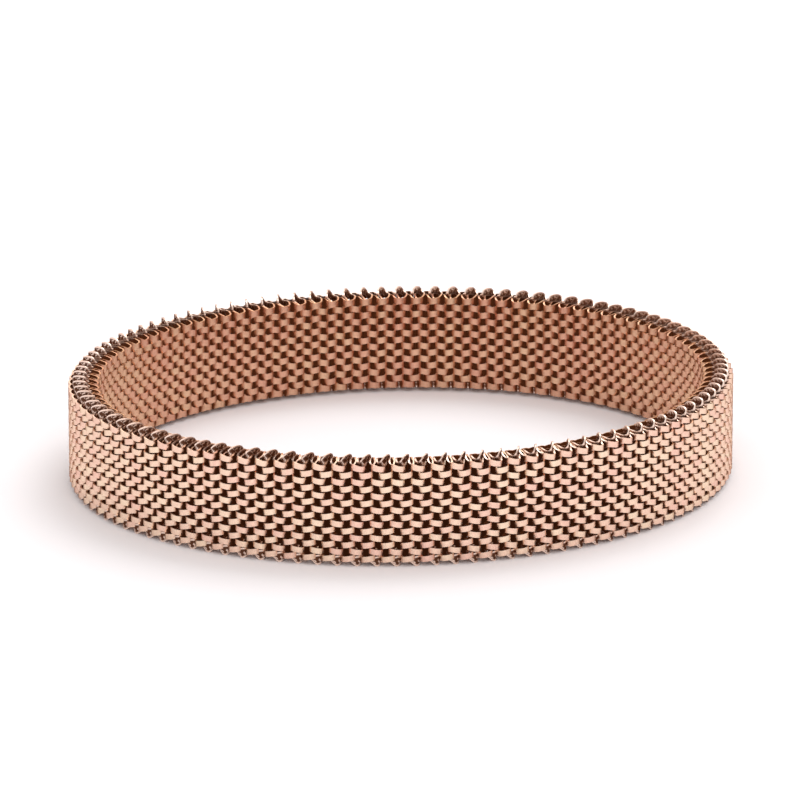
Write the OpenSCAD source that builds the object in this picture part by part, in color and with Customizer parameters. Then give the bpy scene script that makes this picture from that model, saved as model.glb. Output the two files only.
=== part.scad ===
// Mesh bracelet: a slip-on band of interlaced flat-ribbon coils, lying on its lower edge.
// Origin: centre of the band's outline, on the surface it rests on. +Z up along the coils' axes,
// -Y towards the viewer. Falling coils and rising coils, the two hands of spiral, alternate round
// the wrist. The mesh is one solid here: the scallops on its two faces are the coils' columns, and
// the rings that stand on each edge are the last turn of every second coil.

/* [Band] */
// Mean diameter of the band over its outer face
outer_d = 65; // [54:1:80]
// How far the longest radius is over the mean, along the diagonal to the right and back
oval = 1; // [0:0.1:2]
// Thickness of the mesh, from its inner face to its outer face
wall = 3; // [2.4:0.1:4]
// Height of the band over both edges
band_h = 10.4; // [6:0.1:20]

/* [Coils] */
// Spacing along the band of two coils that turn the same way
coil_spacing = 1.8; // [1.6:0.05:2.4]
// Width of a coil along the band
coil_w = 1.38; // [1.2:0.02:1.5]
// Depth of the groove between two neighbouring coils on either face
groove = 0.35; // [0.1:0.05:0.5]
// Width of a coil's flat front, where its ribbon crosses the face
coil_front = 0.5; // [0.3:0.05:0.7]

/* [Edges] */
// How far the last turns stand out of the weave at the upper and the lower edge
end_rise = 0.55; // [0.2:0.05:0.8]
// Thickness of an end turn, seen from above
end_t = 0.26; // [0.16:0.02:0.4]
// How far an end turn stays back from the two faces of the band
end_inset = 0.08; // [0.04:0.02:0.2]

/* [Hidden] */

// How deep an end turn is rooted in the weave
root = 0.1;
// Corners in one end turn
turn_corners = 8;
// Squareness of a coil's outline: 1 is an ellipse, smaller is squarer
squareness = 0.85;

mid_r = (outer_d - wall) / 2;
coil_pairs = round(2 * PI * mid_r / coil_spacing);
columns = 2 * coil_pairs;
column_w = 2 * PI * mid_r / columns;

// Angle at which column k stands, spread evenly along the oval rather than by angle
function column_angle(k) =
    let (even = 360 * k / columns)
    even + oval / mid_r / 2 * cos(2 * even) * 180 / PI;

// Radius of the wall's middle at an angle
function middle_r(a) = mid_r + oval * sin(2 * a);

// Unit vector along the band at an angle
function along(a) =
    let (
        r = middle_r(a),
        growth = 2 * oval * cos(2 * a),
        v = [growth * cos(a) - r * sin(a), growth * sin(a) + r * cos(a)]
    )
    v / norm(v);

// A point of column k: x along the band, y outwards from the middle of its wall
function at_column(k, p) =
    let (
        a = column_angle(k),
        t = along(a),
        out = [t.y, -t.x]
    )
    middle_r(a) * [cos(a), sin(a)] + p.x * t + p.y * out;

// Outline of one face round the whole band: side 1 is the outer face and -1 the inner face
function face_outline(side) = [
    for (k = [0 : columns - 1])
        for (p = [
            [-column_w / 2, wall / 2 - groove],
            [-coil_front / 2, wall / 2],
            [coil_front / 2, wall / 2]
        ])
            at_column(k, [p.x, side * p.y])
];

// A number's power with its sign kept
function signed_power(v, e) = sign(v) * pow(abs(v), e);

// Outline of column k's end turn, seen from above, held in from the coil's own size by a margin
function turn_outline(k, margin) = [
    for (i = [0 : turn_corners - 1])
        let (a = 360 * (i + 0.5) / turn_corners)
            at_column(k, [
                (coil_w / 2 - margin) * signed_power(cos(a), squareness),
                (wall / 2 - end_inset - margin) * signed_power(sin(a), squareness)
            ])
];

// The body of the weave, between the end turns of its two edges
module weave() {
    outer = face_outline(1);
    inner = face_outline(-1);
    translate([0, 0, end_rise])
        linear_extrude(height = band_h - 2 * end_rise)
            polygon(
                points = concat(outer, inner),
                paths = [
                    [for (i = [0 : len(outer) - 1]) i],
                    [for (i = [0 : len(inner) - 1]) len(outer) + i]
                ]
            );
}

// The last turn of column k, a flat ring of ribbon standing on its edge
module end_turn(k) {
    linear_extrude(height = end_rise + root)
        polygon(
            points = concat(turn_outline(k, 0), turn_outline(k, end_t)),
            paths = [
                [for (i = [0 : turn_corners - 1]) i],
                [for (i = [0 : turn_corners - 1]) turn_corners + i]
            ]
        );
}

// The whole mesh: falling coils end at the upper edge and rising coils at the lower edge
module woven_band() {
    color("#E9BFA6") {
        weave();
        for (k = [0 : 2 : columns - 1])
            translate([0, 0, band_h - end_rise - root])
                end_turn(k);
        for (k = [1 : 2 : columns - 1])
            end_turn(k);
    }
}

woven_band();
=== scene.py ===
"""Mesh bracelet: the looks of a slip-on band woven from flat rose-gold ribbon.

The band is a mesh of upright coils. A coil is a flattened spiral of flat ribbon, and two kinds
alternate round the wrist: falling coils, whose turns fall to the right on the outer face, and
rising coils, their mirror image. Each coil's turns pass through those of its neighbours.
One coil of each kind is modelled, copied round the band's oval, and joined into one piece.
Coils are modelled in millimetres and are brought to metres as they are placed.
"""

import logging
import math
import random
from collections.abc import Sequence
from dataclasses import dataclass, field
from enum import Enum
from typing import NamedTuple

import bpy
from mathutils import Matrix, Vector

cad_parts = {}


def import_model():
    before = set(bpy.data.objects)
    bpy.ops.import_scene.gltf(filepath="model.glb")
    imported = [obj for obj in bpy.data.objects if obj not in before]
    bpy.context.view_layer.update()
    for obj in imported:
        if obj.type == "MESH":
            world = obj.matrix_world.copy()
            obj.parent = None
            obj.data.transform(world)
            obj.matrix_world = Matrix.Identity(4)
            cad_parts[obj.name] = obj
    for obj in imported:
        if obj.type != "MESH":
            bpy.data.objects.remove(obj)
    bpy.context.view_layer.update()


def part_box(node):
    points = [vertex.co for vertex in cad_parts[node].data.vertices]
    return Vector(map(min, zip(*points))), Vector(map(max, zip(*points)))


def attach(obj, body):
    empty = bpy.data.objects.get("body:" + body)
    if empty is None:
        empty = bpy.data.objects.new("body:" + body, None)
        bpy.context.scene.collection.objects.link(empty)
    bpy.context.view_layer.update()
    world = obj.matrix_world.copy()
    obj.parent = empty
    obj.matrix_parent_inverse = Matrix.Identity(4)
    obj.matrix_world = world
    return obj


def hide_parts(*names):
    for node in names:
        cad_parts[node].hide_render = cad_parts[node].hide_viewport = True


LOG = logging.getLogger("mesh_bracelet")
MM = 0.001
BAND_NODE = "woven_band"


class Hand(Enum):
    """Which way a coil's turns run on the outer face, from left to right."""

    FALLING = "falling"
    RISING = "rising"


class RibbonSide(Enum):
    """The sides of a wound ribbon."""

    OUTWARD = "away from the coil's axis"
    INWARD = "towards the coil's axis"
    EDGE = "one of the two narrow edges"


def column_offset(hand: Hand) -> int:
    """Give the place of a hand's first column: falling coils stand in the even columns."""
    return 0 if hand is Hand.FALLING else 1


def deselect_all() -> None:
    """Leave object mode with nothing selected."""
    if bpy.context.mode != "OBJECT":
        bpy.ops.object.mode_set(mode="OBJECT")
    bpy.ops.object.select_all(action="DESELECT")


def select_only(objects: Sequence[bpy.types.Object]) -> None:
    """Select some objects and make the first one active.

    Args:
        objects: The objects to select, first the one to make active.
    """
    deselect_all()
    for item in objects:
        item.select_set(True)
    bpy.context.view_layer.objects.active = objects[0]


def linear_colour(hex_code: str) -> tuple[float, float, float, float]:
    """Turn an sRGB hex colour into the linear values that shaders take.

    Args:
        hex_code: Six hex digits, with or without a leading hash.

    Returns:
        Linear red, green and blue, and an alpha of one.
    """
    digits = hex_code.lstrip("#")
    values = []
    for start in (0, 2, 4):
        share = int(digits[start : start + 2], 16) / 255
        low = share / 12.92
        high = ((share + 0.055) / 1.055) ** 2.4
        values.append(low if share <= 0.04045 else high)
    return (values[0], values[1], values[2], 1.0)


def add_node(
    tree: bpy.types.NodeTree,
    kind: str,
    settings: dict[str, object] | None = None,
    links: dict[str, bpy.types.NodeSocket] | None = None,
) -> bpy.types.Node:
    """Add a shader node with its settings and its incoming links.

    Args:
        tree: The node tree to add to.
        kind: The node's type name.
        settings: Values by input name or number, or by property name.
        links: Sockets to link from, by input name or number.

    Returns:
        The new node.
    """
    node = tree.nodes.new(kind)
    for name, value in (settings or {}).items():
        if isinstance(name, str) and hasattr(node, name):
            setattr(node, name, value)
        else:
            node.inputs[name].default_value = value
    for name, socket in (links or {}).items():
        tree.links.new(socket, node.inputs[name])
    return node


# A bent-in end, from the coil's last turn on: for each point its place along and across the
# band, and how far the ribbon's far and near edges stand beyond the outermost slat, in
# millimetres. A negative distance is back in the weave.
EndTable = tuple[tuple[float, float, float, float], ...]

# The end of a rising coil at the band's lower edge, wound in across the middle of the wall.
CURL: EndTable = (
    (-0.72, 0.80, 0.04, -0.56),
    (-0.79, 0.50, 0.08, -0.70),
    (-0.81, 0.16, 0.12, -0.84),
    (-0.78, -0.20, 0.16, -0.90),
    (-0.62, -0.52, 0.18, -0.90),
    (-0.34, -0.66, 0.18, -0.90),
    (0.00, -0.68, 0.18, -0.90),
    (0.34, -0.64, 0.18, -0.90),
    (0.62, -0.50, 0.18, -0.90),
)
# The end of a falling coil at the upper edge, bent straight back to the wrist side.
ARM: EndTable = (
    (-0.70, 0.84, 0.05, -0.62),
    (-0.77, 0.60, 0.11, -0.68),
    (-0.79, 0.36, 0.18, -0.70),
    (-0.78, 0.12, 0.26, -0.70),
    (-0.75, -0.12, 0.34, -0.68),
    (-0.70, -0.34, 0.38, -0.62),
    (-0.62, -0.54, 0.34, -0.50),
)
# The other end of a rising coil, a leaf that stands on edge above the upper turns.
PETAL: EndTable = (
    (-0.80, -0.10, 0.22, -0.95),
    (-0.78, 0.30, 0.16, -0.90),
    (-0.70, 0.64, 0.14, -0.66),
    (-0.58, 0.88, 0.24, -0.50),
    (-0.42, 0.99, 0.48, -0.28),
    (-0.25, 0.91, 0.68, -0.14),
    (-0.09, 0.70, 0.77, -0.06),
    (0.06, 0.46, 0.80, 0.00),
    (0.18, 0.22, 0.80, 0.04),
    (0.29, 0.00, 0.78, 0.06),
    (0.37, -0.19, 0.68, 0.06),
    (0.40, -0.36, 0.46, 0.04),
)
# The other end of a falling coil, folded under the lower turns.
FOLD: EndTable = (
    (-0.80, -0.10, 0.10, -0.95),
    (-0.78, 0.30, 0.08, -0.86),
    (-0.66, 0.66, 0.06, -0.60),
    (-0.46, 0.94, 0.10, -0.30),
    (-0.25, 1.04, 0.26, -0.30),
    (-0.07, 1.08, 0.44, -0.40),
    (0.13, 1.08, 0.52, -0.46),
    (0.32, 0.98, 0.46, -0.46),
    (0.42, 0.82, 0.32, -0.46),
    (0.46, 0.64, 0.16, -0.42),
)


@dataclass(frozen=True)
class Ribbon:
    """The flat wire that the coils are wound from.

    Attributes:
        height: Its width, which stands upright in a slat, in millimetres.
        thickness: Its thickness.
    """

    height: float = 0.54
    thickness: float = 0.16


class PathPoint(NamedTuple):
    """A point of the ribbon's middle line, in millimetres, and the ribbon's height there.

    Attributes:
        x: Place along the band.
        y: Place outwards from the middle of the wall.
        z: Place above the band's lower edge.
        height: Height of the ribbon.
    """

    x: float
    y: float
    z: float
    height: float

    def place(self) -> Vector:
        """Give the point alone."""
        return Vector((self.x, self.y, self.z))


@dataclass(frozen=True)
class CoilPlan:
    """The outline that a turn's middle line follows, seen along the coil's axis.

    x runs along the band and y outwards. The turn is flat where it shows on a face of the
    band: these parts are the slats. The side strands cross the wall, and reach those of the
    next coil of their own hand. They are as tall as a turn climbs, so that nothing shows
    through the weave, as in the photograph. Real ribbon keeps one width and its strands only
    touch, but these cut into the neighbouring coils' strands.

    Attributes:
        half_width: Half the turn's width along the band.
        half_depth: Half the turn's depth across the wall.
        slat_height: The ribbon's height on the outer face.
        side_height: The ribbon's height where it crosses the wall.
        inner_share: Height of an inner slat in heights of an outer one.
        quarter: The corners of a quarter, from a slat's middle on: their place in half
            widths and half depths, and how tall the ribbon is there on the outer and on the
            inner half of the turn, where 0 is a slat's height and 1 is a side strand's.
        side: The corner in the middle of the wall, in the same terms.
    """

    half_width: float
    half_depth: float
    slat_height: float
    side_height: float = 1.36
    inner_share: float = 1.14
    quarter: tuple[tuple[float, float, float, float], ...] = (
        (0.00, 1.00, 0.0, 0.0),
        (0.37, 0.96, 0.0, 0.0),
        (0.69, 0.83, 0.0, 0.5),
        (0.87, 0.58, 0.3, 1.0),
        (0.95, 0.43, 1.0, 1.0),
    )
    side: tuple[float, float, float] = (1.10, 0.0, 1.0)

    def turn(self) -> list[PathPoint]:
        """List a whole turn's points, counter-clockwise from the outer face's middle.

        Returns:
            Points at height zero, the first not repeated at the end.
        """
        left = [(-x, y, outer) for x, y, outer, _ in self.quarter]
        side = [(-self.side[0], 0.0, self.side[2])]
        left_back = [(-x, -y, inner) for x, y, _, inner in reversed(self.quarter)]
        right_back = [(x, -y, inner) for x, y, _, inner in self.quarter[1:]]
        other_side = [self.side]
        right = [(x, y, outer) for x, y, outer, _ in reversed(self.quarter[1:])]
        points = []
        for x, y, tall in left + side + left_back + right_back + other_side + right:
            slat = self.slat_height * (self.inner_share if y < 0 else 1.0)
            height = slat + tall * (self.side_height - slat)
            points.append(PathPoint(x * self.half_width, y * self.half_depth, 0.0, height))
        return points

    def turn_shares(self) -> list[float]:
        """List the share of a turn's length run at each point, from the outer face's middle.

        Returns:
            Shares from 0 to 1, the last for the way back to the first point.
        """
        turn = [point.place() for point in self.turn()]
        running = [0.0]
        for place, point in enumerate(turn):
            running.append(running[-1] + (turn[(place + 1) % len(turn)] - point).length)
        return [length / running[-1] for length in running]


@dataclass(frozen=True)
class CoilPath:
    """The middle line of a falling coil's ribbon, from its lower end to its upper end.

    The upper end leaves the top turn at its left and is bent back across the wall. The lower
    end goes on round the inner face and is bent in from the left. A rising coil is the same
    seen upside down in a mirror, so its lower end here is the one at the band's upper edge.

    Attributes:
        plan: The outline of a turn.
        pitch: How far a turn climbs.
        rows: Turns that show on the outer face.
        top_z: Height of the top slat's middle on the outer face.
        lean: How far the coil leans along the band, for each millimetre of height.
        hook: The lower end.
        curl: The upper end.
        face_ease: How much flatter the ribbon runs across the faces than along the sides.
        below_slat: Corners of the plan before the lowest outer slat where the winding starts.
        past_slat: Corners of the plan after the top outer slat where the winding stops.
    """

    plan: CoilPlan
    pitch: float
    rows: int
    top_z: float
    lean: float
    hook: EndTable
    curl: EndTable
    face_ease: float = 0.1
    below_slat: int = 14
    past_slat: int = 2

    def climb(self, share: float) -> float:
        """Give how far the ribbon has climbed after a number of turns.

        The ribbon runs a little flatter across the faces than along the sides.

        Args:
            share: Length run, in turns, from the middle of a face.

        Returns:
            The height climbed.
        """
        ease = self.face_ease * math.sin(4 * math.pi * share) / (4 * math.pi)
        return self.pitch * (share - ease)

    def winding(self) -> list[PathPoint]:
        """Work out the turns, from past the lowest inner slat to the top turn's left.

        Returns:
            Points with x along the band, y outwards and z from the top turn's front.
        """
        turn = self.plan.turn()
        shares = self.plan.turn_shares()
        count = len(turn)
        last = (self.rows - 1) * count + self.past_slat
        points = []
        for corner in range(-self.below_slat, last + 1):
            whole, part = divmod(corner, count)
            climbed = self.climb(whole + shares[part]) - self.climb(self.rows - 1)
            point = turn[part]._replace(z=climbed)
            if 2 * corner < -count:
                # Past the lowest inner slat, the strand's far edge stays level with the slat's.
                extra = (point.height - self.plan.slat_height) / 2
                point = point._replace(height=point.height - extra, z=point.z + extra / 2)
            points.append(point)
        return points

    def points(self) -> list[PathPoint]:
        """Put the two ends on the winding, and lean the coil.

        Returns:
            The whole path, with z from the surface that the band rests on.
        """
        low_face = -self.pitch * (self.rows - 0.5)
        rim = self.plan.slat_height / 2
        lower = [
            PathPoint(x, y, low_face - rim - (far + near) / 2, far - near)
            for x, y, far, near in reversed(self.hook)
        ]
        upper = [
            PathPoint(x, y, rim + (far + near) / 2, far - near)
            for x, y, far, near in self.curl
        ]
        middle = low_face / 2
        return [
            p._replace(x=p.x + self.lean * (p.z - middle), z=p.z + self.top_z)
            for p in lower + self.winding() + upper
        ]


@dataclass(frozen=True)
class CoilMaker:
    """Winds the ribbon of one coil along its path.

    Attributes:
        ribbon: The flat wire.
        path: Where its middle line runs.
        deep_from: Distance from the middle of the wall up to which the ribbon is painted shade.
        bright_from: Distance from which its outward side is bright, with no painted shade.
        end_turn: Points of the first and last turn whose edges show on the band's edges.
        painted_end_light: Painted light on the inward side of the bent-in ends.
        end_back: Painted light on their outward side.
        weave_edge: Painted light on the ribbon's narrow edges within the weave.
    """

    ribbon: Ribbon
    path: CoilPath
    deep_from: float = 0.86
    bright_from: float = 1.0
    end_turn: int = 13
    painted_end_light: float = 0.2
    end_back: float = 0.1
    weave_edge: float = 0.1

    def headings(self, points: Sequence[PathPoint]) -> list[float]:
        """Give the direction of the path at each of its points, seen from above.

        Args:
            points: The path's points.

        Returns:
            Angles in radians from +x.
        """
        angles = []
        last = len(points) - 1
        for place in range(len(points)):
            run = points[min(place + 1, last)].place() - points[max(place - 1, 0)].place()
            angles.append(math.atan2(run.y, run.x))
        return angles

    def wind(self, name: str) -> bpy.types.Object:
        """Extrude the ribbon's section along the path, turning it at each corner.

        Args:
            name: The new object's name.

        Returns:
            The coil, in millimetres, standing at the origin.
        """
        points = self.path.points()
        angles = self.headings(points)
        deselect_all()
        bpy.ops.mesh.primitive_plane_add(
            size=1.0, rotation=(math.pi / 2, 0.0, angles[0] + math.pi / 2)
        )
        coil = bpy.context.object
        coil.name = name
        coil.scale = (self.ribbon.thickness, points[0].height, 1.0)
        coil.location = points[0].place()
        bpy.ops.object.transform_apply(location=True, rotation=True, scale=True)
        bpy.ops.object.mode_set(mode="EDIT")
        bpy.ops.mesh.select_all(action="SELECT")
        for before, after, old, new in zip(points, points[1:], angles, angles[1:]):
            centre = after.place()
            bpy.ops.mesh.extrude_region_move(
                TRANSFORM_OT_translate={"value": centre - before.place()}
            )
            bpy.ops.transform.rotate(
                value=math.remainder(old - new, 2 * math.pi),
                orient_axis="Z",
                center_override=centre,
            )
            bpy.ops.transform.resize(
                value=(1.0, 1.0, after.height / before.height), center_override=centre
            )
        bpy.ops.mesh.select_all(action="SELECT")
        bpy.ops.mesh.normals_make_consistent(inside=False)
        bpy.ops.object.mode_set(mode="OBJECT")
        self.mark(coil.data, points)
        return coil

    def painted_light(self, side: RibbonSide, depth: float, at_end: bool, in_weave: bool) -> float:
        """Judge how much painted light a place gets, against painted shade.

        The outward side is bright on the band's two faces and painted shade in the weave,
        where shade falls. A bent-in end is painted shade on its sides. Its narrow edges are
        bright, as are those of the turn that it leaves.

        Args:
            side: The side of the ribbon.
            depth: Distance from the middle of the wall.
            at_end: Whether the place is on a bent-in end.
            in_weave: Whether the weave goes on both above and below the place.

        Returns:
            A share from 0 for dark to 1 for bright.
        """
        # Painted shade: the nearer to the middle of the wall, the darker the ribbon, as shade
        # falls within the weave.
        share = (depth - self.deep_from) / (self.bright_from - self.deep_from)
        bright = min(max(share, 0.0), 1.0)
        if side is RibbonSide.EDGE:
            return self.weave_edge + (1.0 - self.weave_edge) * bright if in_weave else 1.0
        if side is RibbonSide.INWARD:
            return self.painted_end_light if at_end else 0.0
        return self.end_back if at_end else bright

    def side(self, face: bpy.types.MeshPolygon, heights: Sequence[float]) -> RibbonSide:
        """Tell which side of the ribbon a face is on.

        Args:
            face: The face.
            heights: How far above the ribbon's middle line each of its corners is.

        Returns:
            The side, where a cut end counts as an edge.
        """
        rings = {vertex // 4 for vertex in face.vertices}
        if len(rings) == 1 or min(heights) * max(heights) > 0:
            return RibbonSide.EDGE
        outwards = Vector((face.center.x, face.center.y)).dot(
            Vector((face.normal.x, face.normal.y))
        )
        return RibbonSide.OUTWARD if outwards > 0 else RibbonSide.INWARD

    def mark(self, mesh: bpy.types.Mesh, points: Sequence[PathPoint]) -> None:
        """Write what the finish needs: painted light, the wrist side, and places on the ribbon.

        Args:
            mesh: The coil's mesh, four corners to each point of the path.
            points: The path's points.
        """
        run = [0.0]
        for before, after in zip(points, points[1:]):
            run.append(run[-1] + (after.place() - before.place()).length)
        first = len(self.path.hook)
        last = len(points) - len(self.path.curl)
        weave = range(first + self.end_turn, last - self.end_turn)
        # Share of painted light at each corner: 0 takes the painted shade, 1 the bright metal.
        painted_light = mesh.attributes.new("painted_light", "FLOAT", "CORNER")
        layer = mesh.uv_layers.new(name="ribbon")
        for face in mesh.polygons:
            heights = [mesh.vertices[v].co.z - points[v // 4].z for v in face.vertices]
            side = self.side(face, heights)
            for corner, vertex, height in zip(face.loop_indices, face.vertices, heights):
                ring = vertex // 4
                at_end = ring < first or ring >= last
                share = self.painted_light(side, abs(points[ring].y), at_end, ring in weave)
                painted_light.data[corner].value = share
                layer.data[corner].uv = (run[ring], height)
        rings = [vertex // 4 for vertex in range(len(mesh.vertices))]
        marks = {
            # The wrist side takes painted shade and more glow.
            "wrist_side": [float(points[ring].y < 0.0) for ring in rings],
            # The bent-in ends take the painted highlights.
            "bent_end": [float(ring < first or ring >= last) for ring in rings],
            "half_height": [points[ring].height / 2 for ring in rings],
        }
        for name, values in marks.items():
            mark = mesh.attributes.new(name, "FLOAT", "POINT")
            mark.data.foreach_set("value", values)


@dataclass(frozen=True)
class BandOutline:
    """The slightly oval line that the middle of the band's wall follows, seen from above.

    Attributes:
        mean_radius: Its mean radius in millimetres.
        oval: How far the longest radius is over the mean.
    """

    mean_radius: float
    oval: float

    def angle(self, share: float) -> float:
        """Give the angle at a share of the way round, spread evenly by length.

        Args:
            share: From 0 to 1 round the band.

        Returns:
            Angle in radians from +x.
        """
        even = 2 * math.pi * share
        return even + self.oval / self.mean_radius / 2 * math.cos(2 * even)

    def place(self, share: float) -> Matrix:
        """Give the frame of a coil: its x along the band, y outwards and z up.

        Args:
            share: From 0 to 1 round the band.

        Returns:
            The matrix that puts a coil there, in millimetres.
        """
        angle = self.angle(share)
        radius = self.mean_radius + self.oval * math.sin(2 * angle)
        growth = 2 * self.oval * math.cos(2 * angle)
        along = Vector(
            (
                growth * math.cos(angle) - radius * math.sin(angle),
                growth * math.sin(angle) + radius * math.cos(angle),
                0.0,
            )
        ).normalized()
        out = Vector((along.y, -along.x, 0.0))
        centre = Vector((radius * math.cos(angle), radius * math.sin(angle), 0.0))
        return Matrix(
            (
                (along.x, out.x, 0.0, centre.x),
                (along.y, out.y, 0.0, centre.y),
                (0.0, 0.0, 1.0, 0.0),
                (0.0, 0.0, 0.0, 1.0),
            )
        )


@dataclass
class WovenBand:
    """The whole mesh: falling and rising coils, alternately, all round the wrist.

    Attributes:
        low: Lowest corner of the CAD band's box, in metres.
        high: Highest corner of the box.
        wall: Thickness of the mesh.
        oval: How far the outline's longest radius is over the mean.
        pairs: Coils of each kind.
        rows: Turns of a coil that show on the outer face.
        coil_width: Width of a turn along the band, over the ribbon.
        end_rise: Distance from the band's two edges to the outermost slats.
        lean_degrees: How far the coils lean from upright.
        painted_petal_light: Painted light inside the petals on the upper edge.
        painted_fold_light: Painted light inside the folds and arms.
        coil_tints: Spread of the tint from coil to coil.
        slat_tints: Spread of the tint from slat to slat.
        smooth_degrees: Angle between faces up to which they are shaded smooth.
        ribbon: The flat wire.
        seed: Start of the random numbers for the tints.
    """

    low: Vector
    high: Vector
    wall: float = 3.0
    oval: float = 1.0
    pairs: int = 108
    rows: int = 7
    coil_width: float = 1.74
    end_rise: float = 0.52
    lean_degrees: float = 1.6
    painted_petal_light: float = 0.5
    painted_fold_light: float = 0.2
    coil_tints: float = 0.12
    slat_tints: float = 0.15
    smooth_degrees: float = 40.0
    ribbon: Ribbon = field(default_factory=Ribbon)
    seed: int = 7

    def outline(self) -> BandOutline:
        """Give the middle of the wall, from the CAD band's own box.

        Returns:
            The line that the coils follow, in millimetres.
        """
        half = (self.high.x - self.low.x) / 2 / MM
        outer = half - 2 * self.oval**2 / half
        return BandOutline(outer - self.wall / 2, self.oval)

    def height(self) -> float:
        """Give the band's height in millimetres."""
        return (self.high.z - self.low.z) / MM

    def path(self, hand: Hand = Hand.FALLING) -> CoilPath:
        """Give the path of a falling coil that fills the band's height.

        Args:
            hand: The kind of coil that is made from it.

        Returns:
            The path, with the two ends of that kind.
        """
        plan = CoilPlan(
            (self.coil_width - self.ribbon.thickness) / 2,
            (self.wall - self.ribbon.thickness) / 2,
            self.ribbon.height,
        )
        inset = self.end_rise + self.ribbon.height / 2
        pitch = (self.height() - 2 * inset) / (self.rows - 0.5)
        return CoilPath(
            plan,
            pitch,
            self.rows,
            self.height() - inset,
            math.tan(math.radians(self.lean_degrees)),
            PETAL if hand is Hand.RISING else FOLD,
            CURL if hand is Hand.RISING else ARM,
        )

    def copies(self, coil: bpy.types.Object, hand: Hand) -> bpy.types.Object:
        """Copy a coil round the band and join the copies into one piece.

        Args:
            coil: The falling coil, in millimetres.
            hand: Which kind of coil the piece is made of.

        Returns:
            The joined piece, in metres, its object at the origin.
        """
        outline = self.outline()
        upside_down = Matrix.Translation((0.0, 0.0, self.height())) @ Matrix.Diagonal(
            (1.0, 1.0, -1.0, 1.0)
        )
        made = []
        draw = random.Random(self.seed + column_offset(hand))
        for pair in range(self.pairs):
            column = 2 * pair + column_offset(hand)
            place = outline.place(column / (2 * self.pairs))
            matrix = Matrix.Scale(MM, 4) @ place
            if hand is Hand.RISING:
                matrix = matrix @ upside_down
            copy = bpy.data.objects.new(f"{hand.value}_{pair}", coil.data.copy())
            copy.data.transform(matrix)
            if hand is Hand.RISING:
                copy.data.flip_normals()
            self.tint(copy.data, draw)
            bpy.context.scene.collection.objects.link(copy)
            made.append(copy)
        select_only(made)
        bpy.ops.object.join()
        piece = bpy.context.object
        piece.name = f"{hand.value}_coils"
        return piece

    def tint(self, mesh: bpy.types.Mesh, draw: random.Random) -> None:
        """Give each half turn of a coil its own tint.

        Args:
            mesh: The coil's mesh, four corners to each point of the path.
            draw: The source of random numbers.
        """
        half_turn = 2 * len(self.path().plan.turn())
        coil = draw.gauss(0.5, self.coil_tints)
        values = []
        for start in range(0, len(mesh.vertices), half_turn):
            slat = coil + draw.gauss(0.0, self.slat_tints)
            values += [slat] * min(half_turn, len(mesh.vertices) - start)
        attribute = mesh.attributes.new("tint", "FLOAT", "POINT")
        attribute.data.foreach_set("value", values)

    def build(self) -> list[bpy.types.Object]:
        """Model the two kinds of coil and lay them round the band.

        Returns:
            The falling coils and the rising coils.
        """
        pieces = []
        for hand in Hand:
            # Painted light on the inward side of the bent-in ends, against painted shade.
            shine = self.painted_petal_light if hand is Hand.RISING else self.painted_fold_light
            coil = CoilMaker(self.ribbon, self.path(hand), painted_end_light=shine).wind("coil")
            piece = self.copies(coil, hand)
            select_only([piece])
            bpy.ops.object.shade_smooth_by_angle(angle=math.radians(self.smooth_degrees))
            pieces.append(piece)
            bpy.data.objects.remove(coil)
        return pieces


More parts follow.
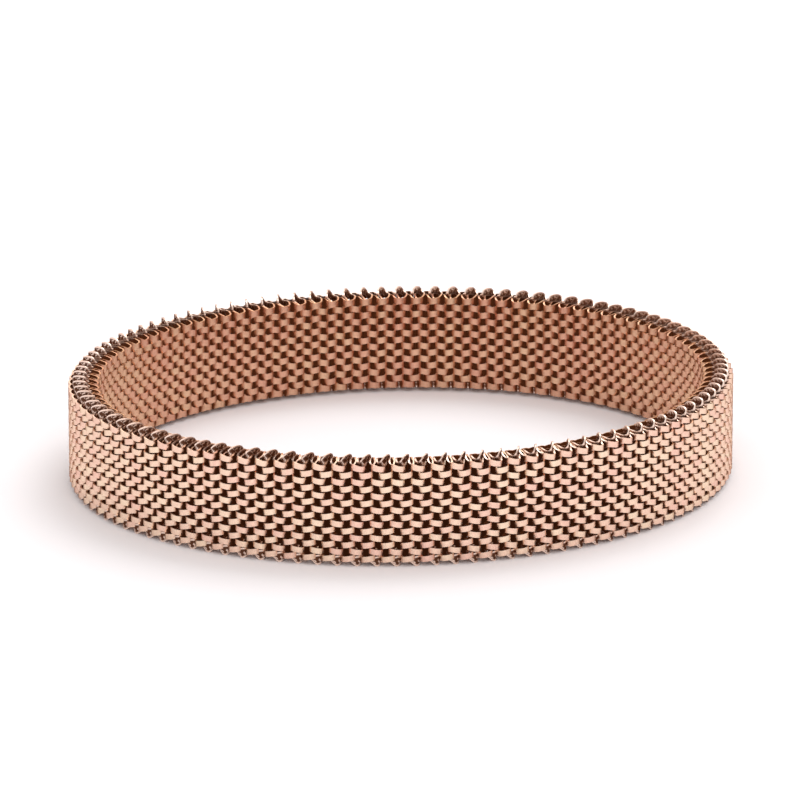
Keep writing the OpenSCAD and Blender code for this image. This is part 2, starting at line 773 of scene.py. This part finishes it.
@dataclass(frozen=True)
class RoseGoldRibbon:
    """Rose-gold plated steel ribbon, rolled flat and wound.

    The faces that show are satin. Within the weave, where shade falls, the colour is painted
    shade of a dark brown, which makes the rows of bright slats stand out. The sides of the
    bent-in ends are painted shade as well. The side that lies on the wrist has painted shade
    and is browner. The edges of the bent-in ends carry a painted highlight, and painted
    glints show between them. Patterns follow the ribbon's own map, which is in millimetres.

    Attributes:
        name: The material's name.
        painted_shade: Painted shade within the weave, dark brown.
        painted_half_shade: A lighter painted shade, on the sides of the bent-in ends.
        pink: The pinkest bright metal.
        cream: The yellowest bright metal.
        wrist: Painted shade that darkens the bright metal on the wrist side.
        painted_highlights: Painted highlight on the bent-in ends' edges, and their painted
            glints.
        glow: Light that the dark metal gives off, for what bounces about in the weave.
        wrist_glow: How much more of it there is on the wrist side.
        rim_width: Width of a bright edge, in millimetres.
        cloud_scale: Patches for each millimetre.
        cloud_tint: How much the patches change the tint.
        cloud_painted_light: How much the patches change where the painted shade ends.
        tone_range: Tints that are all pink and all cream.
        painted_half_shade_at: Painted light at which the dark painted shade has turned to the
            lighter one.
        bright_range: Painted light at which the bright metal starts and is whole.
        glint_range: Height in the patches at which a glint starts and is whole.
        glint: Brightness of a glint.
        glow_until: Share of bright metal at which the glow has faded.
        mark_scale: Rolling marks for each millimetre, along and across the ribbon. Real ones
            are finer, and these are as coarse as they need to be to show.
        mark_depth: Depth of the rolling marks, in millimetres.
        grazing: Tint of what the metal mirrors at a low angle.
        roughness: A satin finish.
    """

    name: str = "rose_gold_plated_ribbon"
    painted_shade: str = "#2A170E"
    painted_half_shade: str = "#7E5A48"
    pink: str = "#F1C7B5"
    cream: str = "#F6DCC2"
    wrist: str = "#E4D1C4"
    painted_highlights: str = "#FDE2D2"
    glow: str = "#2D1408"
    wrist_glow: float = 1.2
    # rim_width: Width of a painted highlight along an edge, in millimetres.
    rim_width: float = 0.18
    cloud_scale: float = 3.5
    cloud_tint: float = 1.2
    cloud_painted_light: float = 1.4
    tone_range: tuple[float, float] = (0.7, 1.5)
    painted_half_shade_at: float = 0.35
    bright_range: tuple[float, float] = (0.42, 0.7)
    glint_range: tuple[float, float] = (0.54, 0.62)
    glint: float = 0.8
    glow_until: float = 0.5
    mark_scale: tuple[float, float, float] = (9.0, 4.0, 1.0)
    mark_depth: float = 0.02
    grazing: str = "#8C766C"
    roughness: float = 0.33

    def base_colour(
        self, tree: bpy.types.NodeTree
    ) -> tuple[bpy.types.NodeSocket, bpy.types.NodeSocket]:
        """Work out the colour from its tint, painted light and shade, and side of the band.

        Args:
            tree: The material's nodes.

        Returns:
            The colour's socket, and one for the share of glow from within the weave.
        """
        tint = add_node(tree, "ShaderNodeAttribute", {"attribute_name": "tint"})
        painted_light = add_node(tree, "ShaderNodeAttribute", {"attribute_name": "painted_light"})
        wrist = add_node(tree, "ShaderNodeAttribute", {"attribute_name": "wrist_side"})
        place = add_node(tree, "ShaderNodeUVMap", {"uv_map": "ribbon"})
        cloud = add_node(
            tree,
            "ShaderNodeTexNoise",
            {"Scale": self.cloud_scale, "Detail": 3.0},
            {"Vector": place.outputs["UV"]},
        )
        uneven = add_node(
            tree, "ShaderNodeMath", {"operation": "SUBTRACT", 1: 0.5}, {0: cloud.outputs["Fac"]}
        )
        shade = add_node(
            tree,
            "ShaderNodeMath",
            {"operation": "MULTIPLY_ADD", 1: self.cloud_tint},
            {0: cloud.outputs["Fac"], 2: tint.outputs["Fac"]},
        )
        tone = add_node(
            tree,
            "ShaderNodeMapRange",
            {"From Min": self.tone_range[0], "From Max": self.tone_range[1]},
            {"Value": shade.outputs[0]},
        )
        bright = add_node(
            tree,
            "ShaderNodeMix",
            {"data_type": "RGBA", 6: linear_colour(self.pink), 7: linear_colour(self.cream)},
            {0: tone.outputs["Result"]},
        )
        # Painted shade on the wrist side: the bright metal is multiplied by a browner colour
        # there.
        wrist_shaded = add_node(
            tree,
            "ShaderNodeMix",
            {"data_type": "RGBA", "blend_type": "MULTIPLY", 7: linear_colour(self.wrist)},
            {0: wrist.outputs["Fac"], 6: bright.outputs[2]},
        )
        # Painted shade: where painted light is low, the colour runs from the dark brown painted
        # shade to the lighter one.
        dark_share = add_node(
            tree,
            "ShaderNodeMapRange",
            {"From Max": self.painted_half_shade_at},
            {"Value": painted_light.outputs["Fac"]},
        )
        dark = add_node(
            tree,
            "ShaderNodeMix",
            {"data_type": "RGBA", 6: linear_colour(self.painted_shade), 7: linear_colour(self.painted_half_shade)},
            {0: dark_share.outputs["Result"]},
        )
        patchy = add_node(
            tree,
            "ShaderNodeMath",
            {"operation": "MULTIPLY_ADD", 1: self.cloud_painted_light},
            {0: uneven.outputs[0], 2: painted_light.outputs["Fac"]},
        )
        bright_share = add_node(
            tree,
            "ShaderNodeMapRange",
            {"From Min": self.bright_range[0], "From Max": self.bright_range[1]},
            {"Value": patchy.outputs[0]},
        )
        # Painted highlight along the edges of the bent-in ends, and painted glints between
        # them.
        rim = self.rim(tree, cloud.outputs["Fac"])
        shine = add_node(
            tree,
            "ShaderNodeMath",
            {"operation": "MAXIMUM"},
            {0: bright_share.outputs["Result"], 1: rim},
        )
        # The bright metal where painted light is high, the painted shade elsewhere.
        metal = add_node(
            tree,
            "ShaderNodeMix",
            {"data_type": "RGBA"},
            {0: bright_share.outputs["Result"], 6: dark.outputs[2], 7: wrist_shaded.outputs[2]},
        )
        colour = add_node(
            tree,
            "ShaderNodeMix",
            {"data_type": "RGBA", 7: linear_colour(self.painted_highlights)},
            {0: rim, 6: metal.outputs[2]},
        )
        glow = add_node(
            tree,
            "ShaderNodeMapRange",
            {"From Max": self.glow_until, "To Min": 1.0, "To Max": 0.0},
            {"Value": shine.outputs[0]},
        )
        inside = add_node(
            tree,
            "ShaderNodeMath",
            {"operation": "MULTIPLY_ADD", 1: self.wrist_glow, 2: 1.0},
            {0: wrist.outputs["Fac"]},
        )
        strength = add_node(
            tree,
            "ShaderNodeMath",
            {"operation": "MULTIPLY"},
            {0: glow.outputs["Result"], 1: inside.outputs[0]},
        )
        return colour.outputs[2], strength.outputs[0]

    def rim(
        self, tree: bpy.types.NodeTree, cloud: bpy.types.NodeSocket
    ) -> bpy.types.NodeSocket:
        """Find the painted highlights on the edges of the bent-in ends, and the painted glints.

        Args:
            tree: The material's nodes.
            cloud: The socket of the noise that places the glints.

        Returns:
            A share's socket: one on a painted edge highlight, zero where there is neither that
            nor a painted glint.
        """
        place = add_node(tree, "ShaderNodeUVMap", {"uv_map": "ribbon"})
        parts = add_node(tree, "ShaderNodeSeparateXYZ", {}, {0: place.outputs["UV"]})
        half = add_node(tree, "ShaderNodeAttribute", {"attribute_name": "half_height"})
        bent = add_node(tree, "ShaderNodeAttribute", {"attribute_name": "bent_end"})
        off_middle = add_node(
            tree, "ShaderNodeMath", {"operation": "ABSOLUTE"}, {0: parts.outputs["Y"]}
        )
        from_edge = add_node(
            tree,
            "ShaderNodeMath",
            {"operation": "SUBTRACT"},
            {0: half.outputs["Fac"], 1: off_middle.outputs[0]},
        )
        near_edge = add_node(
            tree,
            "ShaderNodeMapRange",
            {
                "From Min": 0.5 * self.rim_width,
                "From Max": self.rim_width,
                "To Min": 1.0,
                "To Max": 0.0,
            },
            {"Value": from_edge.outputs[0]},
        )
        glint = add_node(
            tree,
            "ShaderNodeMapRange",
            {
                "From Min": self.glint_range[0],
                "From Max": self.glint_range[1],
                "To Max": self.glint,
            },
            {"Value": cloud},
        )
        either = add_node(
            tree,
            "ShaderNodeMath",
            {"operation": "MAXIMUM"},
            {0: near_edge.outputs["Result"], 1: glint.outputs["Result"]},
        )
        rim = add_node(
            tree,
            "ShaderNodeMath",
            {"operation": "MULTIPLY"},
            {0: either.outputs[0], 1: bent.outputs["Fac"]},
        )
        return rim.outputs[0]

    def drawn_marks(self, tree: bpy.types.NodeTree) -> bpy.types.NodeSocket:
        """Roughen the surface with the fine marks of rolling and winding.

        Args:
            tree: The material's nodes.

        Returns:
            The normal's socket.
        """
        place = add_node(tree, "ShaderNodeUVMap", {"uv_map": "ribbon"})
        stretch = add_node(
            tree,
            "ShaderNodeMapping",
            {"Scale": self.mark_scale},
            {"Vector": place.outputs["UV"]},
        )
        marks = add_node(
            tree,
            "ShaderNodeTexNoise",
            {"Scale": 1.0, "Detail": 3.0},
            {"Vector": stretch.outputs["Vector"]},
        )
        bump = add_node(
            tree,
            "ShaderNodeBump",
            {"Strength": 0.5, "Distance": self.mark_depth * MM},
            {"Height": marks.outputs["Fac"]},
        )
        return bump.outputs["Normal"]

    def build(self) -> bpy.types.Material:
        """Make the material.

        Returns:
            The material for the coils.
        """
        material = bpy.data.materials.new(self.name)
        material.use_nodes = True
        tree = material.node_tree
        shader = tree.nodes["Principled BSDF"]
        shader.inputs["Metallic"].default_value = 1.0
        shader.inputs["Roughness"].default_value = self.roughness
        shader.inputs["Specular Tint"].default_value = linear_colour(self.grazing)
        shader.inputs["Emission Color"].default_value = linear_colour(self.glow)
        colour, glow = self.base_colour(tree)
        tree.links.new(colour, shader.inputs["Base Color"])
        tree.links.new(glow, shader.inputs["Emission Strength"])
        tree.links.new(self.drawn_marks(tree), shader.inputs["Normal"])
        return material


@dataclass(frozen=True)
class LightBox:
    """A square soft box that points at the origin.

    Attributes:
        name: Its name.
        place: Where it hangs, in metres.
        size: Length of a side, in metres.
        power: Its power in watts.
    """

    name: str
    place: tuple[float, float, float]
    size: float
    power: float

    def build(self) -> None:
        """Hang the light."""
        bpy.ops.object.light_add(type="AREA", location=self.place)
        light = bpy.context.object
        light.name = self.name
        light.data.size = self.size
        light.data.energy = self.power
        light.rotation_euler = (-Vector(self.place)).to_track_quat("-Z", "Y").to_euler()


@dataclass
class Studio:
    """The floor, the light and the camera of the photograph.

    Attributes:
        distance: From the camera to the origin, in millimetres.
        elevation: Of the camera, in degrees.
        lens: Focal length in millimetres, on a sensor of the next width.
        sensor: Width of the sensor.
        aim_right: How far to the right of the origin the camera points, in millimetres.
        aim_up: How far above it.
        walls: Brightness of the white room at the height of the floor.
        ceiling: Its brightness overhead.
        ceiling_from: Sine of the elevation where the ceiling starts.
        floor_size: Length of a side of the floor, in metres.
        floor_colour: The floor's colour. It is matt card, which spreads the light evenly and
            takes soft shadows.
        floor_roughness: Near that of bare card.
        boxes: The soft boxes above, in front and behind.
    """

    distance: float = 700.0
    elevation: float = 16.05
    lens: float = 320.2
    sensor: float = 36.0
    aim_right: float = -0.16
    aim_up: float = 7.33
    walls: float = 0.36
    ceiling: float = 0.96
    ceiling_from: float = 0.7
    floor_size: float = 3.0
    floor_colour: str = "#F2EDEE"
    floor_roughness: float = 0.9
    boxes: tuple[LightBox, ...] = (
        LightBox("key_box", (0.18, 0.3, 0.5), 0.4, 1.35),
        LightBox("front_box", (0.05, -0.65, 0.3), 0.5, 1.75),
        LightBox("back_box", (0.0, 0.7, 0.26), 0.5, 1.1),
    )

    def camera(self) -> None:
        """Place the camera where the photograph was taken from."""
        rise = math.radians(self.elevation)
        place = Vector((0.0, -math.cos(rise), math.sin(rise))) * self.distance * MM
        bpy.ops.object.camera_add(location=place)
        camera = bpy.context.object
        aim = Vector((self.aim_right, 0.0, self.aim_up)) * MM
        camera.rotation_euler = (aim - place).to_track_quat("-Z", "Y").to_euler()
        camera.data.lens = self.lens
        camera.data.sensor_width = self.sensor
        camera.data.clip_start = 0.01
        camera.data.clip_end = 10.0
        bpy.context.scene.camera = camera

    def floor(self) -> None:
        """Lay the pale floor that the bracelet rests on."""
        deselect_all()
        bpy.ops.mesh.primitive_plane_add(size=self.floor_size)
        floor = bpy.context.object
        floor.name = "studio_floor"
        material = bpy.data.materials.new("matt_white_card")
        material.use_nodes = True
        shader = material.node_tree.nodes["Principled BSDF"]
        shader.inputs["Base Color"].default_value = linear_colour(self.floor_colour)
        shader.inputs["Roughness"].default_value = self.floor_roughness
        floor.data.materials.append(material)

    def lights(self) -> None:
        """Light the set softly, with a white room and the soft boxes."""
        world = bpy.data.worlds.new("white_room")
        world.use_nodes = True
        tree = world.node_tree
        back = tree.nodes["Background"]
        back.inputs["Color"].default_value = (1.0, 1.0, 1.0, 1.0)
        way = add_node(tree, "ShaderNodeTexCoord")
        parts = add_node(tree, "ShaderNodeSeparateXYZ", {}, {0: way.outputs["Generated"]})
        strength = add_node(
            tree,
            "ShaderNodeMapRange",
            {"From Max": self.ceiling_from, "To Min": self.walls, "To Max": self.ceiling},
            {"Value": parts.outputs["Z"]},
        )
        tree.links.new(strength.outputs["Result"], back.inputs["Strength"])
        bpy.context.scene.world = world
        for box in self.boxes:
            box.build()

    def build(self) -> None:
        """Set up the whole studio."""
        self.floor()
        self.lights()
        self.camera()
        bpy.context.scene.view_settings.view_transform = "Standard"


def main() -> None:
    """Build the bracelet and its studio, and report each piece."""
    logging.basicConfig(level=logging.INFO, format="%(message)s")
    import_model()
    low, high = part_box(BAND_NODE)
    finish = RoseGoldRibbon().build()
    for piece in WovenBand(low, high).build():
        piece.data.materials.append(finish)
        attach(piece, "root")
        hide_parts(BAND_NODE)
        LOG.info("%s: %d faces", piece.name, len(piece.data.polygons))
    Studio().build()


if __name__ == "__main__":
    main()
